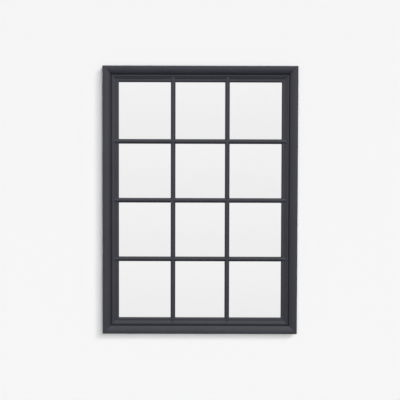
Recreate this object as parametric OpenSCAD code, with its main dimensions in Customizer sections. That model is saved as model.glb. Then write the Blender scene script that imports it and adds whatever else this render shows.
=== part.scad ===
// Window mirror: a moulded casing, a moulded sash inside it, and glazing bars over separate panes.
// The model is laid out as on a bench, face up: x is across, y is up the frame, and z is the
// height above the frame's back plane. stand_up() then turns it to hang on a wall.
// After that +Z is up, the face looks along -Y, and the wall is the plane y = 0.
// A section is drawn in [u, h]: u runs inward from the outer edge, h forward from the back plane.

/* [Overall] */
// Width over the casing
overall_w = 800; // [600:10:1100]
// Height over the casing
overall_h = 1100; // [800:10:1500]
// Panes from left to right
pane_columns = 3; // [2:1:4]
// Panes from top to bottom
pane_rows = 4; // [2:1:5]

/* [Casing moulding] */
// Face of the casing, from the outer edge to the groove
casing_w = 33; // [31:0.5:50]
// Depth of the casing at its crest
casing_t = 32; // [29:0.5:40]
// Depth of the casing where its face ends at the groove
casing_edge_t = 22; // [18:0.5:26]
// Radius of the outer arris
arris_r = 5; // [2:0.5:8]
// Flat land between the arris and the crown
crest_w = 4; // [1:0.5:8]
// Radius that eases the crown's lower edge over the groove
crown_ease = 1; // [0.5:0.25:2]

/* [Sash moulding] */
// Groove between the casing and the sash
groove_w = 4.5; // [3:0.5:8]
// Width of the raised fillet beside the groove
fillet_w = 5; // [3.5:0.5:8]
// Radius of the fillet's outer arris
fillet_r = 1.5; // [0.5:0.25:2]
// Radius that eases the fillet's inner arris
fillet_ease = 1; // [0.25:0.25:1.5]
// Step from the fillet down to the ovolo
ovolo_step = 3; // [0.5:0.25:3]
// Width of the ovolo
ovolo_w = 10.5; // [8:0.5:16]
// Fall of the ovolo across its width
ovolo_drop = 4.5; // [4:0.5:6]
// Rise of the ovolo's flat curve above a straight line between its ends
ovolo_crown = 0.5; // [0.25:0.25:0.75]
// Width of the quirk between the ovolo and the sight bead
quirk_w = 1; // [0.5:0.25:2]
// Depth of the quirk below the top of the bead
quirk_depth = 1.25; // [0.75:0.25:2]
// Flat top of the sight bead
bead_flat_w = 5.25; // [3:0.25:9]
// Radius that eases the bead's outer arris
bead_ease = 1.25; // [0.5:0.25:2]
// Radius of the sight bead down to the glass
bead_r = 6.5; // [5:0.5:9]

/* [Glazing bars] */
// Width of a bar's face
bar_w = 19.5; // [16:0.5:24]
// Height of a bar's round nose above the glass
bar_h = 9.5; // [7:0.25:9.5]
// Radius of the nose beyond half the bar's width, which leaves a short straight side at the glass
bar_ease = 0.15; // [0.1:0.05:1]
// Thickness of the web between two panes
web_w = 5; // [3:0.5:7]
// Length of the tenon at each end of a bar
tenon_l = 6; // [4:0.5:10]
// Seam left for glue and paint where two wooden pieces meet
seam = 0.1; // [0.05:0.05:0.3]

/* [Glass and backing] */
// Thickness of a silvered pane
pane_t = 4; // [3:0.5:6]
// Room round a pane in its rebate
pane_clear = 1; // [0.5:0.25:2]
// Width of the sash's rebate for the glass
rebate_w = 8; // [6:0.5:12]
// Thickness of the backing board
board_t = 3; // [2.5:0.5:5]
// Depth of the board below the back of the casing
board_recess = 1.5; // [0.5:0.25:3]
// Room round the board in the casing
board_clear = 1; // [0.5:0.25:2]

/* [Lap of the sash in the casing] */
// Width of the casing's rebate, which laps the sash
lap_w = 12; // [10:0.5:14]
// Room beside the sash in that rebate
lap_clear = 0.5; // [0.25:0.25:1]
// Thickness of the sash's lip under the casing
lip_t = 7; // [5:0.5:9]

/* [Board screws] */
// Radius of a screw's shank
screw_r = 1.75; // [1.5:0.05:2]
// Radius of its countersunk head
screw_head_r = 3.4; // [3:0.1:4]
// Height of the head's cone
screw_head_h = 1.9; // [1.5:0.1:2.4]
// Length of the screw over all
screw_l = 18; // [15:0.5:20]
// Distance of the end screws from a corner
screw_inset = 70; // [50:5:100]
// Widest distance between two screws
screw_pitch = 220; // [120:10:300]
// Radius of the blunt point of a screw
screw_tip_r = 0.3; // [0.2:0.05:0.5]
// Room round a screw in its holes
screw_clear = 0.1; // [0.05:0.05:0.2]

/* [Corner nails] */
// Length of each arm of a V nail
nail_arm = 7; // [5:0.5:9]
// Thickness of the nail's steel
nail_t = 0.6; // [0.4:0.1:1]
// Depth that a nail is driven
nail_depth = 10; // [7:0.5:12]
// Depth of a nail's top edge below the wood
nail_sunk = 0.3; // [0.1:0.1:1]
// Distance of the casing's first nail from the outer corner
nail_first = 4; // [3:0.5:6]
// Distance from the casing's first nail to its second
nail_pitch = 9; // [7:0.5:10]

/* [Wall bumpers] */
// Distance that the bumpers and the hangers keep free between the frame and the wall
stand_off = 5; // [5:0.5:8]
// Radius of a bumper
bumper_r = 8; // [6:0.5:10]
// Chamfer round the face of a bumper
bumper_chamfer = 1; // [0.5:0.25:2]
// Distance of a bumper's centre from the side of the frame
bumper_inset = 60; // [40:5:100]
// Distance of a bumper's centre from the bottom edge
bumper_rise = 12; // [11:0.5:14]

/* [Ring hangers] */
// Distance of the ring's pivot below the top of the frame
hanger_drop = 210; // [120:5:300]
// Distance of a hanger's middle from the side of the frame
hanger_inset = 12; // [11.5:0.5:14]
// Width of the steel strap
strap_w = 12; // [10:0.5:13]
// Thickness of the strap
strap_t = 1; // [0.8:0.1:1.2]
// Distance from the pivot down to the first screw
strap_first = 20; // [19:0.5:24]
// Distance between the two screws
strap_pitch = 11; // [8:0.5:14]
// Height of the knuckle's back above the face of the wood
knuckle_lift = 0.15; // [0.1:0.05:0.3]
// Radius of the ring's wire
wire_r = 1.3; // [1:0.05:1.5]
// Running clearance of the ring in the knuckle
wire_clear = 0.05; // [0.03:0.01:0.1]
// Radius of the ring's bow to the middle of the wire
bow_r = 9.5; // [8.5:0.25:10]
// Length of the ring's straight legs
leg_l = 2; // [0.5:0.25:3]
// Radius of the ring's two upper corners to the middle of the wire
corner_r = 2.6; // [2:0.1:3]
// Radius of a hanger screw's shank
pan_r = 1.5; // [1.25:0.05:1.75]
// Radius of its pan head where it meets the strap
pan_head_r = 3.1; // [2.8:0.1:3.4]
// Radius of the flat top of the pan head
pan_top_r = 2.5; // [2:0.1:2.7]
// Height of the pan head
pan_head_h = 1.8; // [1.4:0.1:2.2]
// Length of the screw under its head
pan_l = 15; // [10:0.5:18]

/* [Hidden] */
$fn = 96;

// Names of the sides in the order in which a quarter turn brings them round
SIDES = ["bottom", "right", "top", "left"];
// Room past a surface for a cut to come out cleanly
cut = 1;

// Heights above the back plane
sash_back = board_recess + board_t;
glass_front = sash_back + pane_t;
lip_top = sash_back + lip_t;
bead_top = glass_front + bead_r;
quirk_floor = bead_top - quirk_depth;
ovolo_top = quirk_floor + ovolo_drop;
fillet_top = ovolo_top + ovolo_step;
web_split = sash_back + pane_t / 2;

// Distances inward from the outer edge
land_w = casing_w - lap_w;
crown_start = arris_r + crest_w;
sash_outer = land_w + lap_clear;
sash_start = casing_w + groove_w;
ovolo_start = sash_start + fillet_w;
ovolo_end = ovolo_start + ovolo_w;
bead_start = ovolo_end + quirk_w;
face_w = bead_start + bead_flat_w + bead_r;
rebate_wall = face_w - rebate_w;
screw_u = casing_w - lap_w / 2;

// Radius of the casing's shallow crown, which starts level, from its run and its fall
crown_run = casing_w - crown_start;
crown_drop = casing_t - casing_edge_t;
crown_r = (crown_run * crown_run + crown_drop * crown_drop) / (2 * crown_drop);

// Radius of the ovolo's arc, from its chord and its crown, and the arc's centre in [u, h]
ovolo_chord = sqrt(ovolo_w * ovolo_w + ovolo_drop * ovolo_drop);
ovolo_r = (ovolo_chord * ovolo_chord / 4 + ovolo_crown * ovolo_crown) / (2 * ovolo_crown);
ovolo_lean = (ovolo_r - ovolo_crown) / ovolo_chord;
ovolo_centre = [
    ovolo_start + ovolo_w / 2 - ovolo_drop * ovolo_lean,
    ovolo_top - ovolo_drop / 2 - ovolo_w * ovolo_lean
];

// Radius of a bar's round nose
nose_r = bar_w / 2 + bar_ease;

// The sight opening and its division into panes
sight_w = overall_w - 2 * face_w;
sight_h = overall_h - 2 * face_w;
column_pitch = sight_w / pane_columns;
row_pitch = sight_h / pane_rows;

// Hanger sizes that follow the wire
knuckle_in = wire_r + wire_clear;
knuckle_out = knuckle_in + strap_t;
pivot_z = -(knuckle_out + knuckle_lift);
pivot_y = overall_h / 2 - hanger_drop;
strap_end_r = strap_w / 2;

// Middle of the upright bar that follows column i, and of the level bar that follows row j
function bar_x(i) = -sight_w / 2 + i * column_pitch;
function bar_y(j) = sight_h / 2 - j * row_pitch;
function side_length(k) = k % 2 == 0 ? overall_w : overall_h;
// Screw places along a side: the end screws stand in from the corners, the rest between them
function screw_places(length) =
    let (run = length - 2 * screw_inset, n = ceil(run / screw_pitch))
    [for (i = [0 : n]) -run / 2 + i * run / n];

// Turns the bench layout up to hang on the wall
module stand_up() {
    translate([0, -stand_off, 0]) rotate([90, 0, 0]) children();
}

// Takes what is drawn along the bottom edge, with y inward, to side k
module at_side(k) {
    rotate([0, 0, 90 * k])
        translate([0, -side_length(k + 1) / 2, 0])
            children();
}

// Runs a [u, h] section along x
module run_along(length) {
    rotate([90, 0, 90]) linear_extrude(length, center = true) children();
}

// Outline of a mitred length, seen from the front
module mitre_outline(length) {
    polygon([
        [-length / 2, 0], [length / 2, 0],
        [length / 2 - face_w, face_w], [-length / 2 + face_w, face_w]
    ]);
}

// A length of moulding with both ends mitred at 45 degrees
module mitred(length) {
    intersection() {
        run_along(length) children();
        translate([0, 0, -cut]) linear_extrude(casing_t + 2 * cut) mitre_outline(length);
    }
}

// The corner that a round arris of radius r takes off a square edge at the origin
module arris_waste(r) {
    difference() {
        translate([-cut, -r]) square([r + cut, r + cut]);
        translate([r, -r]) circle(r = r);
    }
}

// What the easing takes off between the crown and the groove's wall, its round tangent to both
module crown_edge_waste() {
    run = crown_run - crown_ease;
    rise = sqrt(pow(crown_r - crown_ease, 2) - run * run);
    slope = atan2(rise, run);
    reach = 2 * crown_ease;
    translate([crown_start + run, casing_t - crown_r + rise])
        difference() {
            polygon([[0, 0], [reach, 0], [reach * cos(slope), reach * sin(slope)]]);
            circle(r = crown_ease);
        }
}

module casing_section() {
    difference() {
        intersection() {
            square([casing_w, casing_t]);
            union() {
                square([crown_start, casing_t]);
                translate([crown_start, casing_t - crown_r]) circle(r = crown_r);
            }
        }
        translate([0, casing_t]) arris_waste(arris_r);
        crown_edge_waste();
        translate([land_w, -cut]) square([lap_w + cut, lip_top + cut]);
    }
}

// The moulded front of the sash above the glass line, grown by g to scribe a bar over it
module sash_moulding(g = 0) {
    difference() {
        translate([sash_start - g, glass_front])
            square([fillet_w + 2 * g, fillet_top - glass_front + g]);
        translate([sash_start - g, fillet_top + g]) arris_waste(fillet_r);
        translate([ovolo_start + g, fillet_top + g]) mirror([1, 0]) arris_waste(fillet_ease + g);
    }
    intersection() {
        translate([ovolo_start, glass_front]) square([ovolo_w + g, fillet_top - glass_front]);
        translate(ovolo_centre) circle(r = ovolo_r + g);
    }
    translate([ovolo_end, glass_front])
        square([quirk_w, quirk_floor - glass_front + g]);
    difference() {
        translate([bead_start - g, glass_front]) square([bead_flat_w + g, bead_r + g]);
        translate([bead_start - g, bead_top + g]) arris_waste(bead_ease + g);
    }
    intersection() {
        translate([face_w - bead_r, glass_front]) square(bead_r + g);
        translate([face_w - bead_r, glass_front]) circle(r = bead_r + g);
    }
}

// The whole sash section: moulding, body behind the glass line, and lip under the casing
module sash_section() {
    sash_moulding();
    translate([sash_outer, sash_back]) square([rebate_wall - sash_outer, lip_t]);
    translate([sash_start, sash_back]) square([rebate_wall - sash_start, pane_t]);
}

// A V nail's plan, grown by g for its slot, with its point on the mitre at the origin
module nail_plan(g = 0) {
    polygon([
        [-g, -g], [nail_arm + g, -g], [nail_arm + g, nail_t + g],
        [nail_t + g, nail_t + g], [nail_t + g, nail_arm + g], [-g, nail_arm + g]
    ]);
}

// A V nail below the surface z = 0 that it was driven through
module nail() {
    translate([0, 0, nail_sunk]) linear_extrude(nail_depth) nail_plan();
}

// The slot that a nail leaves in the wood
module nail_slot() {
    translate([0, 0, -cut]) linear_extrude(cut + nail_sunk + nail_depth + seam) nail_plan(seam);
}

// Puts its children on the mitre of all four corners, at distance u in from the edges and height h
module at_mitres(u, h) {
    for (k = [0 : 3])
        at_side(k)
            translate([-side_length(k) / 2 + u, u, h]) children();
}

module at_casing_nails() {
    for (u = [nail_first, nail_first + nail_pitch]) at_mitres(u, 0) children();
}

module at_sash_nails() {
    at_mitres(ovolo_start, sash_back) children();
}

// Places its children at every board screw of side k
module at_screws(k) {
    at_side(k)
        for (x = screw_places(side_length(k)))
            translate([x, screw_u, board_recess]) children();
}

// Cross recess in a screw's head, its two slots a quarter as wide as they are long
module cross_recess(span, depth) {
    slot_w = span / 4;
    for (a = [0, 90])
        rotate([0, 0, a]) translate([-span / 2, -slot_w / 2, 0]) cube([span, slot_w, depth]);
}

// Countersunk screw, head down at z = 0, grown by g for its hole
module board_screw(g = 0) {
    tip_h = 2 * screw_r;
    cylinder(h = screw_head_h, r1 = screw_head_r + g, r2 = screw_r + g);
    cylinder(h = screw_l - tip_h, r = screw_r + g);
    translate([0, 0, screw_l - tip_h]) cylinder(h = tip_h + g, r1 = screw_r + g, r2 = screw_tip_r + g);
}

module casing_side(k) {
    color("#46474b")
        stand_up()
            difference() {
                at_side(k) mitred(side_length(k)) casing_section();
                at_casing_nails() nail_slot();
                at_screws(k) board_screw(screw_clear);
                if (k % 2 == 1) hanger_bores(k == 1 ? 1 : -1);
            }
}

module sash_side(k) {
    level = k % 2 == 0;
    color("#46474b")
        stand_up()
            difference() {
                at_side(k) mitred(side_length(k)) sash_section();
                at_sash_nails() nail_slot();
                at_screws(k) board_screw(screw_clear);
                at_side(k)
                    for (i = [1 : (level ? pane_columns : pane_rows) - 1])
                        translate([level ? bar_x(i) : bar_y(i), rebate_wall, sash_back])
                            tenon_slot();
            }
}

// Slot for a bar's tenon, open to the back and to the glass rebate
module tenon_slot() {
    translate([-web_w / 2 - seam, -tenon_l - seam, -cut])
        cube([web_w + 2 * seam, tenon_l + seam + cut, pane_t + seam + cut]);
}

// Section of a bar's nose, standing on the glass
module nose_section() {
    intersection() {
        translate([-bar_w / 2, glass_front]) square([bar_w, bar_h]);
        translate([0, glass_front + bar_h - nose_r]) circle(r = nose_r);
    }
}

// Waste of a mitred crossing: what belongs to the other bar, above and below this one
module crossing_waste() {
    for (s = [-1, 1])
        translate([0, 0, glass_front])
            linear_extrude(bar_h + cut)
                polygon([[0, -s * seam], [bar_w + seam, s * bar_w], [-bar_w - seam, s * bar_w]]);
}

// A bar along x over a sight opening of the given length, crossed at the given places.
// Its nose is scribed over the sash, its web is tenoned, and one half of the web is cut at a crossing.
module glazing_bar(opening, crossings, keeps_front) {
    nose_l = opening + 2 * (face_w - ovolo_start);
    web_l = opening + 2 * (rebate_w + tenon_l);
    difference() {
        union() {
            run_along(nose_l) nose_section();
            translate([-web_l / 2, -web_w / 2, sash_back]) cube([web_l, web_w, pane_t]);
        }
        for (s = [0, 180])
            rotate([0, 0, s])
                translate([opening / 2 + face_w, 0, 0])
                    rotate([90, 0, 180])
                        linear_extrude(2 * bar_w, center = true) sash_moulding(seam);
        for (x = crossings)
            translate([x, 0, 0]) {
                crossing_waste();
                translate([-web_w / 2 - seam, -web_w, keeps_front ? sash_back - cut : web_split])
                    cube([web_w + 2 * seam, 2 * web_w, pane_t / 2 + (keeps_front ? cut : 0)]);
            }
    }
}

module vertical_bar(i) {
    color("#4b4c50")
        stand_up()
            translate([bar_x(i), 0, 0])
                rotate([0, 0, 90])
                    glazing_bar(sight_h, [for (j = [1 : pane_rows - 1]) bar_y(j)], false);
}

module horizontal_bar(j) {
    color("#4b4c50")
        stand_up()
            translate([0, bar_y(j), 0])
                glazing_bar(sight_w, [for (i = [1 : pane_columns - 1]) bar_x(i)], true);
}

// Each pane fills its cell up to the webs or to the sash's rebate, less its clearance
module pane(r, c) {
    left = c == 1 ? -sight_w / 2 - rebate_w : bar_x(c - 1) + web_w / 2;
    right = c == pane_columns ? sight_w / 2 + rebate_w : bar_x(c) - web_w / 2;
    high = r == 1 ? sight_h / 2 + rebate_w : bar_y(r - 1) - web_w / 2;
    low = r == pane_rows ? -sight_h / 2 - rebate_w : bar_y(r) + web_w / 2;
    color("#f0f1f2")
        stand_up()
            translate([left + pane_clear, low + pane_clear, sash_back])
                cube([right - left - 2 * pane_clear, high - low - 2 * pane_clear, pane_t]);
}

module backing_board() {
    w = overall_w - 2 * (land_w + board_clear);
    h = overall_h - 2 * (land_w + board_clear);
    color("#8a6a48")
        stand_up()
            difference() {
                translate([-w / 2, -h / 2, board_recess]) cube([w, h, board_t]);
                for (k = [0 : 3]) at_screws(k) board_screw(screw_clear);
            }
}

module board_screws() {
    color("#b9bcc0")
        stand_up()
            for (k = [0 : 3])
                at_screws(k)
                    difference() {
                        board_screw();
                        translate([0, 0, -cut]) cross_recess(screw_head_r, screw_head_h / 2 + cut);
                    }
}

module corner_nails() {
    color("#9a9da1")
        stand_up() {
            at_casing_nails() nail();
            at_sash_nails() nail();
        }
}

module bumper(s) {
    color("#2b2b2c")
        stand_up()
            translate([s * (overall_w / 2 - bumper_inset), -overall_h / 2 + bumper_rise, -stand_off]) {
                cylinder(h = bumper_chamfer, r1 = bumper_r - bumper_chamfer, r2 = bumper_r);
                translate([0, 0, bumper_chamfer]) cylinder(h = stand_off - bumper_chamfer, r = bumper_r);
            }
}

// Takes the hanger on side s, drawn with its pivot at the origin, to its place on the stile
module at_hanger(s) {
    translate([s * (overall_w / 2 - hanger_inset), pivot_y, 0]) children();
}

module at_strap_screws() {
    for (y = [strap_first, strap_first + strap_pitch]) translate([0, -y, 0]) children();
}

// Pilot bores in a stile for the hanger's screws
module hanger_bores(s) {
    at_hanger(s)
        at_strap_screws()
            translate([0, 0, -cut]) cylinder(h = pan_l + 2 * cut, r = pan_r + screw_clear);
}

// Flat strap with a round lower end, its top rolled into a knuckle for the ring
module hanger_strap(s) {
    color("#b9bcc0")
        stand_up()
            at_hanger(s)
                difference() {
                    union() {
                        translate([-strap_w / 2, -strap_first - strap_pitch, -strap_t])
                            cube([strap_w, strap_first + strap_pitch, strap_t]);
                        translate([0, -strap_first - strap_pitch, -strap_t])
                            cylinder(h = strap_t, r = strap_end_r);
                        translate([-strap_w / 2, 0, pivot_z])
                            rotate([0, 90, 0]) cylinder(h = strap_w, r = knuckle_out);
                    }
                    translate([-strap_w / 2 - cut, 0, pivot_z])
                        rotate([0, 90, 0]) cylinder(h = strap_w + 2 * cut, r = knuckle_in);
                    at_strap_screws()
                        translate([0, 0, -strap_t - cut])
                            cylinder(h = strap_t + 2 * cut, r = pan_r + screw_clear);
                }
}

// A bend of the ring's wire about the origin, from one angle through another
module wire_bend(radius, start, turn) {
    rotate([0, 0, start])
        rotate_extrude(angle = turn) translate([radius, 0]) circle(r = wire_r);
}

// D-shaped ring hanging from the knuckle: bar, two corners, two legs and a round bow
module hanger_ring(s) {
    bar_l = 2 * (bow_r - corner_r);
    color("#c4c7ca")
        stand_up()
            at_hanger(s)
                translate([0, 0, pivot_z]) {
                    translate([-bar_l / 2, 0, 0]) rotate([0, 90, 0]) cylinder(h = bar_l, r = wire_r);
                    translate([bar_l / 2, -corner_r, 0]) wire_bend(corner_r, 0, 90);
                    translate([-bar_l / 2, -corner_r, 0]) wire_bend(corner_r, 90, 90);
                    for (x = [-bow_r, bow_r])
                        translate([x, -corner_r, 0]) rotate([90, 0, 0]) cylinder(h = leg_l, r = wire_r);
                    translate([0, -corner_r - leg_l, 0]) wire_bend(bow_r, 180, 180);
                }
}

// Pan-headed screw with its head below z = 0 and its shank above, towards the wood
module pan_screw() {
    tip_h = 2 * pan_r;
    difference() {
        translate([0, 0, -pan_head_h]) cylinder(h = pan_head_h, r1 = pan_top_r, r2 = pan_head_r);
        translate([0, 0, -pan_head_h - cut]) cross_recess(pan_head_r, pan_head_h / 2 + cut);
    }
    cylinder(h = pan_l - tip_h, r = pan_r);
    translate([0, 0, pan_l - tip_h]) cylinder(h = tip_h, r1 = pan_r, r2 = screw_tip_r);
}

module hanger_screws() {
    color("#b9bcc0")
        stand_up()
            for (s = [-1, 1])
                at_hanger(s) at_strap_screws() translate([0, 0, -strap_t]) pan_screw();
}

for (k = [0 : 3]) {
    casing_side(k);
    sash_side(k);
}
for (i = [1 : pane_columns - 1]) {
    vertical_bar(i);
}
for (j = [1 : pane_rows - 1]) {
    horizontal_bar(j);
}
for (r = [1 : pane_rows]) for (c = [1 : pane_columns]) {
    pane(r, c);
}
backing_board();
board_screws();
corner_nails();
bumper(-1);  // bumper_left
bumper(1);  // bumper_right
hanger_strap(-1);  // hanger_strap_left
hanger_strap(1);  // hanger_strap_right
hanger_ring(-1);  // hanger_ring_left
hanger_ring(1);  // hanger_ring_right
hanger_screws();
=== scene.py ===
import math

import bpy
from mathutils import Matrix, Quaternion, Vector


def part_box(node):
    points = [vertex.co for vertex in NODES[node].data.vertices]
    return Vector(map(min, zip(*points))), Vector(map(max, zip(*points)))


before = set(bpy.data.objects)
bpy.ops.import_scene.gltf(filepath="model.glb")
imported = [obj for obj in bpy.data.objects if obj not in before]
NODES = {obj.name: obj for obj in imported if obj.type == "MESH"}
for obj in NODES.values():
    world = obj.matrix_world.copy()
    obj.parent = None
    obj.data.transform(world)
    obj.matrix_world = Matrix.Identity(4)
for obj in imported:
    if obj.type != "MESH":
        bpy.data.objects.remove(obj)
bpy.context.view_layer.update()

# %% [markdown]
# # A window mirror
#
# The object is a tall wall mirror made like a window. A painted casing of four mitred lengths holds
# a painted sash of four more, and five round-nosed bars divide it over twelve separate panes.
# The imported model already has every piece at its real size. What is left to make here is what the
# eye reads as real: a satin paint, silvered glass, bare timber and plated steel at the back, and the
# pale wall that it hangs on. All lengths are in metres, +Z is up, and the face looks along -Y.

MM = 0.001

# %% [markdown]
# ## Sizes read from the pieces
#
# The patterns below need to know where a piece is: how far a point lies from the outer edge, or how
# high it is in its pane. Those places are read from the pieces themselves, so a change of size in the
# model carries over. They could be typed in as numbers, but then the two would drift apart.

# %% Sizes
CASING_LOW, CASING_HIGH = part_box("casing_left")[0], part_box("casing_right")[1]
HALF_W, HALF_H = CASING_HIGH.x, CASING_HIGH.z
FRONT_Y, BACK_Y = CASING_LOW.y, CASING_HIGH.y
FACE_W = (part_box("sash_left")[1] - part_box("casing_left")[0]).x
PANE_ROWS = 1 + sum(name.startswith("horizontal_bar") for name in NODES)
ROW_PITCH = 2 * (HALF_H - FACE_W) / PANE_ROWS
PANE_FRONT_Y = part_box("pane_1_1")[0].y
print("frame", round(2 * HALF_W, 5), "by", round(2 * HALF_H, 5), "with a face of", round(FACE_W, 5))
print("rows of panes:", PANE_ROWS, "at a pitch of", round(ROW_PITCH, 5))


# %% [markdown]
# ## Two small helpers
#
# Colours are written as the sRGB hex values that a paint chart or a colour picker gives. Shaders work
# in linear light, so one function turns them round.
#
# A shader is a tree of nodes, and each could be made and linked by hand, at four or five lines a
# node. The second function does it in one: it takes the kind of node, what goes into it, and its
# settings. What goes in is a plain value, an output of another node, or a whole node, which stands
# for its first output. It is given by name where a name helps, and in order for sums and ranges.

# %% Helpers
def linear(hex_colour):
    """The linear colour, with alpha, of an sRGB value such as '#292A31'."""
    digits = hex_colour.lstrip("#")
    parts = [int(digits[i:i + 2], 16) / 255 for i in (0, 2, 4)]
    return [p / 12.92 if p <= 0.04045 else ((p + 0.055) / 1.055) ** 2.4 for p in parts] + [1.0]


def add(tree, kind, *inputs, **settings):
    """Adds a shader node with its settings, and what goes into it, in order or as one dict by name."""
    made = tree.nodes.new("ShaderNode" + kind)
    for name, value in settings.items():
        setattr(made, name, value)
    given = inputs[0] if inputs and isinstance(inputs[0], dict) else dict(enumerate(inputs))
    for name, value in given.items():
        if isinstance(value, bpy.types.Node):
            value = value.outputs[0]
        if isinstance(value, bpy.types.NodeSocket):
            tree.links.new(value, made.inputs[name])
        else:
            made.inputs[name].default_value = value
    return made


def new_material(name):
    """An empty node material and its tree."""
    material = bpy.data.materials.new(name)
    material.use_nodes = True
    material.node_tree.nodes.clear()
    return material, material.node_tree


print("a mid grey of #808080 is", round(linear("#808080")[0], 3), "in linear light")

# %% [markdown]
# ## Patterns in a finish
#
# A real finish is never one colour. Each one here is drawn by noise at a real scale, and two small
# recipes turn noise into a finish. One sums several noises by their shares, such as growth rings with
# fibres on them. The other turns from one colour to the next as the noise goes from low to high. A
# colour ramp with many stops could do it too, but these finishes only have two tones, close together.
# Most of a noise lies near a half, so low and high lie a little under and over it: the closer they
# are, the more sharply the two tones part.

# %% Patterns
COLOUR_A, COLOUR_B, COLOUR_OUT = 6, 7, 2    # where a Mix node has its colours; its factor is at 0


def summed(tree, *shares):
    """The sum of several noises, each taken by its share."""
    total = 0.0
    for noise, share in shares:
        total = add(tree, "Math", noise, share, total, operation="MULTIPLY_ADD")
    return total


def two_tones(tree, noise, low, high, first, second):
    """The first colour where the noise is under low, and the second where it is over high."""
    share = add(tree, "MapRange", noise, low, high)
    tones = {0: share, COLOUR_A: linear(first), COLOUR_B: linear(second)}
    return add(tree, "Mix", tones, data_type="RGBA").outputs[COLOUR_OUT]


# %% [markdown]
# ## Bare timber
#
# The frame is run from softwood, such as redwood pine. Its growth rings, cut along their length, show
# as bands a few millimetres wide, the late wood darker and harder than the early wood. The grain
# could be a wave texture, but rings are never that even, so it is noise stretched along the length.
# The same grain then shows faintly through the paint, because the late wood stands a little proud.

# %% Grain
RING_WIDTH = 4 * MM
GRAIN_LENGTH = 180 * MM
FIBRE_WIDTH = 0.8 * MM    # single fibres are too fine to show, so this is a bundle of them
FIBRE_LENGTH = 30 * MM


def grain(tree, point, upright, width, length):
    """Noise in streaks of that width and length, along Z if the piece is upright, or else along X."""
    across, along = 1 / width, 1 / length
    scale = (across, across, along) if upright else (along, across, across)
    stretched = add(tree, "Mapping", {"Vector": point, "Scale": scale})
    return add(tree, "TexNoise", {"Vector": stretched, "Scale": 1.0, "Detail": 2.0})


print("rings to a metre of width:", round(1 / RING_WIDTH), "fibres:", round(1 / FIBRE_WIDTH))

# %% [markdown]
# ## Where the spray ends
#
# The frame is sprayed as it lies face up on a bench. The coat covers the face and the sides, wraps a
# little way round the outer edge onto the back, and ends there in a soft, uneven line. The rest of the
# back stays bare. Two materials on one piece would meet in a hard edge, so one material asks two
# things of each point: is it on the back, and how far in from the outer edge?

# %% Overspray
WRAP_WIDTH = 3 * MM    # full paint, in from the outer edge
WRAP_SOFT = 9 * MM    # and over this it fades out
WRAP_RAGGED = 20 * MM    # how far that edge wanders with the patches of the coat
BACK_SKIN = (0.4 * MM, 0.1 * MM)    # depths under the back between which a point comes to be on it


def unpainted(tree, point, patches):
    """1 where the wood of the back is bare, 0 where it is painted."""
    place = add(tree, "SeparateXYZ", point)
    inward = []
    for axis, half in (("X", HALF_W), ("Z", HALF_H)):
        from_middle = add(tree, "Math", place.outputs[axis], operation="ABSOLUTE")
        inward.append(add(tree, "Math", half, from_middle, operation="SUBTRACT"))
    nearest = add(tree, "Math", *inward, operation="MINIMUM")
    uneven = add(tree, "Math", patches, 0.5, operation="SUBTRACT")
    reach = add(tree, "Math", uneven, WRAP_RAGGED, nearest, operation="MULTIPLY_ADD")
    past_wrap = add(tree, "MapRange", reach, WRAP_WIDTH, WRAP_WIDTH + WRAP_SOFT)
    at_back = add(tree, "MapRange", place.outputs["Y"], *(BACK_Y - depth for depth in BACK_SKIN))
    return add(tree, "Math", past_wrap, at_back, operation="MULTIPLY")


print("spray ends", WRAP_WIDTH / MM, "to", (WRAP_WIDTH + WRAP_SOFT) / MM, "mm in from the edge")

# %% [markdown]
# ## Satin graphite paint
#
# The face has a water-based satin paint over a sanded primer. Satin means that the light a surface
# sends back is half soft colour and half a wide, dull sheen, which is why the moulding's slopes read
# so clearly against its flats. The colour is a dark grey with a trace of blue.
#
# Three things keep it from looking like plastic. The tone drifts by a few per cent over a hand's
# width, where the coat is thicker. The late wood lifts the film along the grain. The spray leaves
# an orange peel about two millimetres across, too fine to show from three metres, where it only
# breaks up the sheen. The relief could be real, but a film so thin never changes an outline, so it is
# a bump in the shader.

# %% Paint
PAINT, PAINT_THIN = "#292A31", "#2E2F36"
PINE_EARLY, PINE_LATE = "#D3B083", "#B08452"
COAT_PATCH = 111 * MM
PEEL_WIDTH = 2 * MM
FILM_RELIEF = 0.15 * MM
SATIN, BARE_WOOD = 0.42, 0.8    # roughness
PAINT_IOR = 1.5
PAINT_SHEEN = 0.6    # a little over the usual 0.5, for a dense film over sanded primer


def painted_timber(name, upright):
    """Satin paint on timber with the grain along Z or X; the back is bare but for the overspray."""
    material, tree = new_material(name)
    point = add(tree, "TexCoord").outputs["Object"]
    rings = grain(tree, point, upright, RING_WIDTH, GRAIN_LENGTH)
    fibres = grain(tree, point, upright, FIBRE_WIDTH, FIBRE_LENGTH)
    patches = add(tree, "TexNoise", {"Vector": point, "Scale": 1 / COAT_PATCH, "Detail": 3.0})
    peel = add(tree, "TexNoise", {"Vector": point, "Scale": 1 / PEEL_WIDTH, "Detail": 1.0})

    coat = summed(tree, (patches, 0.7), (rings, 0.3))
    wood = summed(tree, (rings, 0.6), (fibres, 0.4))
    film = summed(tree, (rings, 0.5), (fibres, 0.2), (peel, 0.3))
    bare = unpainted(tree, point, patches)
    tones = {0: bare, COLOUR_A: two_tones(tree, coat, 0.35, 0.65, PAINT, PAINT_THIN),
             COLOUR_B: two_tones(tree, wood, 0.4, 0.6, PINE_EARLY, PINE_LATE)}
    add(tree, "OutputMaterial", add(tree, "BsdfPrincipled", {
        "Base Color": add(tree, "Mix", tones, data_type="RGBA").outputs[COLOUR_OUT],
        "Roughness": add(tree, "MapRange", bare, 0.0, 1.0, SATIN, BARE_WOOD),
        "IOR": PAINT_IOR,
        "Specular IOR Level": PAINT_SHEEN,
        "Normal": add(tree, "Bump", {"Height": film, "Strength": 0.5, "Distance": FILM_RELIEF}),
    }))
    return material


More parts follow.
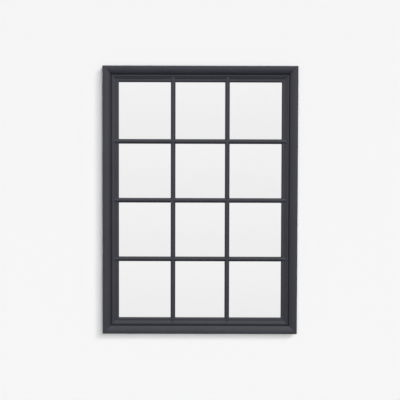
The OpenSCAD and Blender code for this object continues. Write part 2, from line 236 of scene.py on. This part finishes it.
paint_upright = painted_timber("satin_paint_on_upright_timber", True)
paint_level = painted_timber("satin_paint_on_level_timber", False)
print("paint:", PAINT, "to", PAINT_THIN, "on", PINE_EARLY, "to", PINE_LATE)

# %% [markdown]
# ## Silvered glass
#
# Each pane is a sheet of float glass with silver on its back, sealed by grey paint. The silver gives
# the picture, and the glass over it takes a little of the light. Real panes never lie quite in one
# plane, so each one shows the pale room a touch lighter at its head than at its foot. Here that is a
# painted reflection: the silver's colour is painted lighter at the head of each pane than at its foot,
# so that the eye sees twelve panes and not one sheet. A faint haze makes that change uneven.
#
# It could be traced as clear glass with a mirror behind it, but from the front that takes long and
# shows nothing more. So the front face is a plain metal mirror, perfectly sharp, and the edges and
# the back are the matt grey of the sealing paint. By that sharpness the studio, further down, tells
# what a pane shows from what the paint's sheen gathers.

# %% Glass
# painted reflection: the silver is painted lighter at the head of each pane and darker at its foot
SILVER_PAINTED_LIGHTER_HEAD, SILVER_PAINTED_DARKER_FOOT = "#FBFBFB", "#F5F5F5"
BACKING_PAINT = "#6F7376"
SEALED, MIRROR = 0.6, 0.0    # roughness
HAZE_PATCH = 71 * MM
HAZE_SHARE = 0.3    # of the way from foot to head, by which the haze can shift a tone
FRONT_SKIN = (0.02 * MM, 0.2 * MM)    # depths under the front between which the mirror ends


def silvered_glass():
    """A front mirror with a painted reflection, lighter at each pane's head; grey sealing paint behind
    and at the edges.
    """
    material, tree = new_material("silvered_float_glass")
    point = add(tree, "TexCoord").outputs["Object"]
    place = add(tree, "SeparateXYZ", point)
    z = place.outputs["Z"]
    rows_up = add(tree, "Math", z, 1 / ROW_PITCH, PANE_ROWS / 2, operation="MULTIPLY_ADD")
    in_pane = add(tree, "Math", rows_up, operation="FRACT")
    haze = add(tree, "TexNoise", {"Vector": point, "Scale": 1 / HAZE_PATCH, "Detail": 4.0})
    uneven = add(tree, "Math", haze, 0.5, operation="SUBTRACT")
    # painted reflection: a tone from the foot to the head of each pane, made uneven by the haze
    haze_and_painted_reflection = add(tree, "Math", uneven, HAZE_SHARE, in_pane, operation="MULTIPLY_ADD")
    depths = [PANE_FRONT_Y + depth for depth in FRONT_SKIN]
    at_front = add(tree, "MapRange", place.outputs["Y"], *depths, 1.0, 0.0)
    tones = {0: at_front, COLOUR_A: linear(BACKING_PAINT),
             COLOUR_B: two_tones(tree, haze_and_painted_reflection, 0.0, 1.0, SILVER_PAINTED_DARKER_FOOT, SILVER_PAINTED_LIGHTER_HEAD)}
    add(tree, "OutputMaterial", add(tree, "BsdfPrincipled", {
        "Base Color": add(tree, "Mix", tones, data_type="RGBA").outputs[COLOUR_OUT],
        "Metallic": at_front,
        "Roughness": add(tree, "MapRange", at_front, 0.0, 1.0, SEALED, MIRROR),
    }))
    return material


glass = silvered_glass()
print("silver", SILVER_PAINTED_DARKER_FOOT, "to", SILVER_PAINTED_LIGHTER_HEAD, "with its face at y", round(PANE_FRONT_Y, 5))

# %% [markdown]
# ## Hardboard
#
# The backing is hardboard: wood fibres pressed hot into a thin brown sheet. Its smooth side is
# mottled by the fibre bundles, a few millimetres long and lying every way, with a faint shine from
# the press plate. Plain noise would look like clouds, so it is distorted, which curls it into bundles.

# %% Hardboard
FIBRE_BUNDLE = 4 * MM
BOARD_PATCH = 200 * MM
BOARD_DARK, BOARD_LIGHT = "#7A5638", "#9C7450"
NOISE_RANGE = (0.3, 0.7)    # a noise hardly leaves these limits
BOARD_ROUGHNESS = (0.5, 0.66)
BOARD_RELIEF = 0.1 * MM


def hardboard():
    """Brown pressed fibre, mottled in bundles, with a slow drift over the sheet."""
    material, tree = new_material("pressed_hardboard")
    point = add(tree, "TexCoord").outputs["Object"]
    bundles = add(tree, "TexNoise", {
        "Vector": point, "Scale": 1 / FIBRE_BUNDLE, "Detail": 5.0, "Distortion": 1.2})
    patches = add(tree, "TexNoise", {"Vector": point, "Scale": 1 / BOARD_PATCH, "Detail": 2.0})
    mottle = summed(tree, (bundles, 0.6), (patches, 0.4))
    add(tree, "OutputMaterial", add(tree, "BsdfPrincipled", {
        "Base Color": two_tones(tree, mottle, 0.32, 0.68, BOARD_DARK, BOARD_LIGHT),
        "Roughness": add(tree, "MapRange", bundles, *NOISE_RANGE, *BOARD_ROUGHNESS),
        "Normal": add(tree, "Bump", {"Height": bundles, "Strength": 0.3, "Distance": BOARD_RELIEF}),
    }))
    return material


board = hardboard()
print("hardboard:", BOARD_DARK, "to", BOARD_LIGHT, "in bundles of", FIBRE_BUNDLE / MM, "mm")

# %% [markdown]
# ## Zinc-plated steel
#
# The straps, rings, screws and nails are steel with a bright zinc plate. Plating follows the metal
# under it, so it stays a metal to the eye: grey-white, with a soft gloss, and cloudy in patches
# where the bath left the crystals coarser. Colour and gloss could each have a noise of its own, but
# on real plate they change together, so the same one drives both.

# %% Zinc
CRYSTAL_PATCH = 3 * MM
CRYSTAL_GRAIN = CRYSTAL_PATCH / 8
ZINC_DULL, ZINC_BRIGHT = "#B9BDC1", "#D6D9DB"
ZINC_ROUGHNESS = (0.24, 0.4)
ZINC_RELIEF = 0.03 * MM


def zinc_plate():
    """Bright zinc with cloudy patches in its colour and gloss."""
    material, tree = new_material("bright_zinc_plate")
    point = add(tree, "TexCoord").outputs["Object"]
    cloud = add(tree, "TexNoise", {"Vector": point, "Scale": 1 / CRYSTAL_PATCH, "Detail": 3.0})
    fine = add(tree, "TexNoise", {"Vector": point, "Scale": 1 / CRYSTAL_GRAIN, "Detail": 1.0})
    add(tree, "OutputMaterial", add(tree, "BsdfPrincipled", {
        "Base Color": two_tones(tree, cloud, 0.35, 0.65, ZINC_DULL, ZINC_BRIGHT),
        "Metallic": 1.0,
        "Roughness": add(tree, "MapRange", cloud, *NOISE_RANGE, *ZINC_ROUGHNESS),
        "Normal": add(tree, "Bump", {"Height": fine, "Strength": 0.15, "Distance": ZINC_RELIEF}),
    }))
    return material


zinc = zinc_plate()
print("zinc:", ZINC_DULL, "to", ZINC_BRIGHT, "in patches of", CRYSTAL_PATCH / MM, "mm")

# %% [markdown]
# ## Rubber
#
# The bumpers are cut from black rubber. It is matt and never quite black, and it takes a grey bloom
# where it is handled. The bloom could be a flat grey over all, but it gathers in spots, so a fine
# noise drives colour, roughness and relief alike.

# %% Rubber
BLOOM_SPOT = 2.5 * MM
RUBBER_BLACK, RUBBER_BLOOM = "#1D1D1E", "#2E2E30"
RUBBER_ROUGHNESS = (0.68, 0.82)
RUBBER_RELIEF = 0.05 * MM


def bumper_rubber():
    """Matt black rubber with a faint bloom."""
    material, tree = new_material("black_bumper_rubber")
    point = add(tree, "TexCoord").outputs["Object"]
    bloom = add(tree, "TexNoise", {"Vector": point, "Scale": 1 / BLOOM_SPOT, "Detail": 3.0})
    add(tree, "OutputMaterial", add(tree, "BsdfPrincipled", {
        "Base Color": two_tones(tree, bloom, 0.35, 0.7, RUBBER_BLACK, RUBBER_BLOOM),
        "Roughness": add(tree, "MapRange", bloom, *NOISE_RANGE, *RUBBER_ROUGHNESS),
        "Normal": add(tree, "Bump", {"Height": bloom, "Strength": 0.3, "Distance": RUBBER_RELIEF}),
    }))
    return material


rubber = bumper_rubber()
print("rubber:", RUBBER_BLACK, "to", RUBBER_BLOOM, "in spots of", BLOOM_SPOT / MM, "mm")

# %% [markdown]
# ## Dressing the pieces
#
# Every piece of the model keeps its shape and takes its finish. The timber needs two versions of the
# same paint, because grain runs along a length: stiles and upright bars have it along Z, rails and
# level bars along X. A piece could be dressed by hand, but its name already says what it is.

# %% Dressing
UPRIGHT = ("casing_left", "casing_right", "sash_left", "sash_right", "vertical_bar")
LEVEL = ("casing_top", "casing_bottom", "sash_top", "sash_bottom", "horizontal_bar")
STEEL = ("hanger", "board_screws", "corner_nails")
FINISHES = [(UPRIGHT, paint_upright), (LEVEL, paint_level), (("pane",), glass),
            (("backing_board",), board), (("bumper",), rubber), (STEEL, zinc)]
dressed = []
for starts, finish in FINISHES:
    for name, piece in NODES.items():
        if name.startswith(starts):
            for held in piece.material_slots:
                held.material = finish
            dressed.append(name)
print("dressed", len(dressed), "of", len(NODES))

# %% [markdown]
# ## What a ray is for
#
# The eye meets the room round the mirror in three ways: straight, as the sharp picture in a pane,
# and as the blurred sheen on the paint. In a photographer's studio these differ. A pane shows only
# the pale screen that it faces, while the sheen gathers the darker rest of the room. One pale surface
# can't give both, so wall, floor and studio ask Light Path what each ray is for.
#
# Light that a matt surface has scattered on its way counts as neither picture nor sheen. Otherwise the
# panes would throw the glow of the room onto the bars beside them.

# %% Reflections
def reflections(tree, path):
    """Two masks: 1 for a reflection on its way to the eye, and 1 for one that a pane alone has made."""
    unscattered = add(tree, "MapRange", path.outputs["Diffuse Depth"], 0.0, 1.0, 1.0, 0.0)
    glossy = add(tree, "Math", path.outputs["Is Glossy Ray"], unscattered, operation="MULTIPLY")
    once = add(tree, "MapRange", path.outputs["Glossy Depth"], 1.0, 2.0, 1.0, 0.0)
    sharp = add(tree, "Math", glossy, once, operation="MULTIPLY")
    sharp = add(tree, "Math", sharp, path.outputs["Is Singular Ray"], operation="MULTIPLY")
    return glossy, sharp


# %% [markdown]
# ## The wall
#
# The mirror hangs on a plain pale wall, which takes its soft shadow. A real wall would hide the back
# from every view behind it, and it could be left out, but then the front would lose its shadow. So
# the wall is a single sheet that is solid from the front and clear from behind. It stays clear for
# the rest of a ray that came through it, so that lamps and studio reach the back as well. From the
# front it still keeps the back lamp out, and the gap behind the frame is dark.

# %% Wall
PALE = "#F6F6F6"
WALL_REACH = 7.0    # from the middle to each side, and to the top
FLOOR_Z = -1.5


def stage_sheet(name, corners, material):
    """A flat sheet through its corners, with its material."""
    mesh = bpy.data.meshes.new(name)
    mesh.from_pydata(corners, [], [tuple(range(len(corners)))])
    mesh.materials.append(material)
    made = bpy.data.objects.new(name, mesh)
    bpy.context.scene.collection.objects.link(made)
    print(name, "from", corners[0], "to", corners[2])


def wall_paint():
    """Pale matt paint in front; clear from behind, and clear for a ray that came through it."""
    material, tree = new_material("pale_wall_paint")
    behind = add(tree, "NewGeometry").outputs["Backfacing"]
    came_through = add(tree, "LightPath").outputs["Transparent Depth"]
    clear = add(tree, "Math", behind, came_through, operation="MAXIMUM", use_clamp=True)
    matt = add(tree, "BsdfDiffuse", {"Color": linear(PALE)})
    add(tree, "OutputMaterial", add(tree, "MixShader", clear, matt, add(tree, "BsdfTransparent")))
    return material


stage_sheet("wall", [(-WALL_REACH, 0, FLOOR_Z), (WALL_REACH, 0, FLOOR_Z),
                     (WALL_REACH, 0, WALL_REACH), (-WALL_REACH, 0, WALL_REACH)], wall_paint())

# %% [markdown]
# ## The floor
#
# The floor lies far below the mirror. Straight to the eye, and in a pane, it is as pale as the wall.
# In the sheen of the paint it is dark near the wall and pales further out, which is what lets slopes
# that face down stand out against the flats. An evenly lit floor could not be both, so a matt grey,
# which takes the shadow of the mirror, gets a pale glow by what a ray is for. The lamps are so wide
# that a floor would cut off their lower edge, so it lets their light through.

# %% Floor
FLOOR_REACH = 4.5    # in front of the wall and behind it
FLOOR_MATT = "#5F5F5F"
FLOOR_TO_THE_EYE = 0.9
FLOOR_FAR_SHEEN = 0.35
FLOOR_DARK_TO, FLOOR_PALE_FROM = 1.3, 2.6    # metres from the foot of the wall under the mirror


def floor_paint():
    """Matt floor that looks pale to the eye, and in the paint's sheen pales away from the wall."""
    material, tree = new_material("pale_floor_paint")
    place = add(tree, "SeparateXYZ", add(tree, "TexCoord").outputs["Object"])
    x, y = place.outputs["X"], place.outputs["Y"]
    y_squared = add(tree, "Math", y, y, operation="MULTIPLY")
    square = add(tree, "Math", x, x, y_squared, operation="MULTIPLY_ADD")
    out = add(tree, "Math", square, operation="SQRT")

    path = add(tree, "LightPath")
    glossy, sharp = reflections(tree, path)
    far = add(tree, "MapRange", out, FLOOR_DARK_TO, FLOOR_PALE_FROM, 0.0, FLOOR_FAR_SHEEN)
    in_sheen = add(tree, "Math", far, glossy, operation="MULTIPLY")
    looked_at = add(tree, "Math", path.outputs["Is Camera Ray"], sharp, operation="MAXIMUM")
    looked_at = add(tree, "Math", looked_at, path.outputs["Is Transmission Ray"], operation="MAXIMUM")
    to_the_eye = add(tree, "Math", looked_at, FLOOR_TO_THE_EYE, operation="MULTIPLY")

    matt = add(tree, "BsdfDiffuse", {"Color": linear(FLOOR_MATT)})
    glow = add(tree, "Emission", {
        "Color": linear(PALE), "Strength": add(tree, "Math", in_sheen, to_the_eye, operation="MAXIMUM")})
    seen = add(tree, "AddShader", matt, glow)
    clear = add(tree, "BsdfTransparent")
    add(tree, "OutputMaterial", add(tree, "MixShader", path.outputs["Is Shadow Ray"], seen, clear))
    return material


stage_sheet("floor", [(-WALL_REACH, -FLOOR_REACH, FLOOR_Z), (WALL_REACH, -FLOOR_REACH, FLOOR_Z),
                      (WALL_REACH, FLOOR_REACH, FLOOR_Z), (-WALL_REACH, FLOOR_REACH, FLOOR_Z)],
            floor_paint())

# %% [markdown]
# ## Lamps
#
# Three far lamps light the face. A very wide one straight in front gives half of the light, and no
# shadow but the soft dark line where the frame meets the wall. A large one from the upper right gives
# the broad shadow to the left and below, and a smaller one, further round, its long faint end. A
# lamp's angle is how wide it looks from the mirror, and it decides how soft a shadow is. Together they
# bring a flat, face-on surface to the brightness that its colour is written with. A fourth lamp lights
# the back, for the views from behind.
#
# What a satin paint or a mirror shows is the room and not the bulb, so the lamps are hidden from
# reflections. A renderer can find a lamp in two ways: it aims rays at it, or it scatters them until
# one meets it. With a wide lamp that is hidden like this, the two together light a satin paint too
# much, so only the aimed rays are used.

# %% Lamps
FACE_LIGHT = 0.943 * math.pi    # pi would do it alone, but the pale wall and the studio add a little
LAMP_AWAY = 4.0    # a sun shines the same from anywhere, so this only keeps it out of the way


def far_lamp(name, place, degrees_wide, share):
    """A sun in the direction of a place, with its share of the light on the face."""
    towards = Vector(place).normalized()
    lamp = bpy.data.lights.new(name, "SUN")
    lamp.angle = math.radians(degrees_wide)
    lamp.energy = FACE_LIGHT * share / abs(towards.y)
    lamp.cycles.use_multiple_importance_sampling = False
    made = bpy.data.objects.new(name, lamp)
    made.rotation_euler = towards.to_track_quat("Z", "Y").to_euler()
    made.location = towards * LAMP_AWAY
    made.visible_glossy = False
    bpy.context.scene.collection.objects.link(made)
    print(name, "energy", round(lamp.energy, 3))


far_lamp("near_key_lamp", (0.45, -1.0, 0.45), degrees_wide=31.0, share=0.34)
far_lamp("far_key_lamp", (0.98, -1.0, 0.86), degrees_wide=11.0, share=0.18)
far_lamp("front_lamp", (0.0, -1.0, 0.0), degrees_wide=48.0, share=0.48)
far_lamp("back_lamp", (0.35, 1.0, 0.1), degrees_wide=60.0, share=0.7)

# %% [markdown]
# ## The studio
#
# The world stands for the room round the wall. To the eye, and in the panes, it is plain and pale. In
# the sheen of the paint it has a room's own light and dark: dim towards the ground, a pale screen to
# the right, and dark beyond the screen. A picture of a real room could do this, but a few soft bands
# are easier to set. Each takes how high or how far to the side a direction points, and goes from one
# level to another, and they multiply. All other rays get only a faint glow, which keeps the deepest
# grooves from black.

# %% Studio
STUDIO_BANDS = [    # along which axis, from where to where, and from which level to which
    ("Z", 0.3, 0.8, 1.0, 1.06),    # a touch brighter overhead
    ("Z", -0.26, 0.12, 0.32, 1.0),    # dim towards the ground
    ("X", -1.0, -0.2, 0.9, 1.07),    # a little darker far to the left
    ("X", 0.0, 0.25, 1.07, 1.5),    # the pale screen to the right
    ("X", 0.5, 0.95, 1.0, 0.3),    # dark beyond the screen
]
AMBIENT = 0.05    # the faint glow; the eye and the sheen get 1


def pale_studio():
    """A world that is pale to the eye, light and dark in the paint's sheen, and faint to all else."""
    world = bpy.data.worlds.new("pale_studio")
    world.use_nodes = True
    tree = world.node_tree
    tree.nodes.clear()
    towards = add(tree, "SeparateXYZ", add(tree, "TexCoord").outputs["Generated"])
    room = 1.0
    for axis, low, high, start, end in STUDIO_BANDS:
        band = add(tree, "MapRange", towards.outputs[axis], low, high, start, end)
        room = add(tree, "Math", room, band, operation="MULTIPLY")

    path = add(tree, "LightPath")
    glossy, sharp = reflections(tree, path)
    not_sharp = add(tree, "Math", 1.0, sharp, operation="SUBTRACT")
    sheen = add(tree, "Math", glossy, not_sharp, operation="MULTIPLY")
    shading = add(tree, "Math", room, 1.0, operation="SUBTRACT")
    level = add(tree, "Math", sheen, shading, 1.0, operation="MULTIPLY_ADD")
    seen = add(tree, "Math", path.outputs["Is Camera Ray"], glossy, operation="MAXIMUM")
    seen = add(tree, "Math", seen, path.outputs["Is Transmission Ray"], operation="MAXIMUM")
    share = add(tree, "MapRange", seen, 0.0, 1.0, AMBIENT, 1.0)
    add(tree, "OutputWorld", add(tree, "Background", {
        "Color": linear(PALE), "Strength": add(tree, "Math", level, share, operation="MULTIPLY")}))
    return world


bpy.context.scene.world = pale_studio()
print("studio of", len(STUDIO_BANDS), "bands")

# %% [markdown]
# ## Camera
#
# The photograph looks straight at the mirror from a little above its middle: the head of the frame
# comes out about one per cent wider than its foot. At just over three metres, the usual distance for
# such a picture, that is a camera a hand's width above the centre, tipped down by the same small
# angle. The picture is also turned by a seventh of a degree, and the camera is rolled to match. It
# could be placed by eye in the viewport, but these few numbers say why it stands where it does.

# %% Camera
CAMERA_DISTANCE = 3.2
CAMERA_RISE = math.radians(1.8)
CAMERA_ROLL = math.radians(0.15)
PICTURE_SPAN = 1.637    # how much of the wall the picture takes in, at the mirror's face
LOOK_AT = Vector((-0.0003, FRONT_Y, 0.0022))

to_camera = Vector((0.0, -math.cos(CAMERA_RISE), math.sin(CAMERA_RISE)))
level_camera = to_camera.to_track_quat("Z", "Y")
lens = bpy.data.cameras.new("camera")
lens.sensor_fit = "HORIZONTAL"
lens.angle = 2 * math.atan(PICTURE_SPAN / 2 / CAMERA_DISTANCE)
camera = bpy.data.objects.new("camera", lens)
camera.location = LOOK_AT + to_camera * CAMERA_DISTANCE
camera.rotation_euler = (level_camera @ Quaternion((0.0, 0.0, 1.0), CAMERA_ROLL)).to_euler()
bpy.context.scene.collection.objects.link(camera)
bpy.context.scene.camera = camera
bpy.context.scene.view_settings.view_transform = "Standard"
print("angle of view", round(math.degrees(lens.angle), 2))
